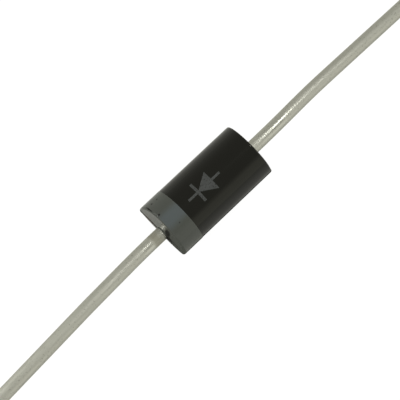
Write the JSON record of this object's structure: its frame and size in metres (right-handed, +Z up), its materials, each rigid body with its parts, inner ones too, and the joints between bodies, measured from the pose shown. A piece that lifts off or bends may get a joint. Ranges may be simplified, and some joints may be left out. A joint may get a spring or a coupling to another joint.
{
  "type": "tvs diode",
  "caption": "Axial transient voltage suppressor diode: black moulded cylinder with a grey cathode band and a long tinned wire lead from each end.",
  "frame": {"origin": "on the surface that the diode lies on, under the middle of its body", "axes": "+X along the body from the banded cathode end to the anode end, +Z up, so the mould's parting plane is level"},
  "size_m": [0.0586, 0.0034, 0.0034],
  "materials": {
    "black_epoxy": "transfer-moulded black epoxy, satin",
    "grey_ink": "cured grey ink, glossy",
    "tinned_copper": "drawn copper wire with a satin tin plate",
    "silicon": "diced silicon with metallised faces",
    "solder": "reflowed soft solder",
    "silicone": "cured white silicone"
  },
  "bodies": {
    "root": {"moulded_body": "black_epoxy", "cathode_band": "grey_ink", "cathode_lead": "tinned_copper", "anode_lead": "tinned_copper", "silicon_die": "silicon", "cathode_solder": "solder", "anode_solder": "solder", "junction_coating": "silicone"}
  },
  "joints": []
}
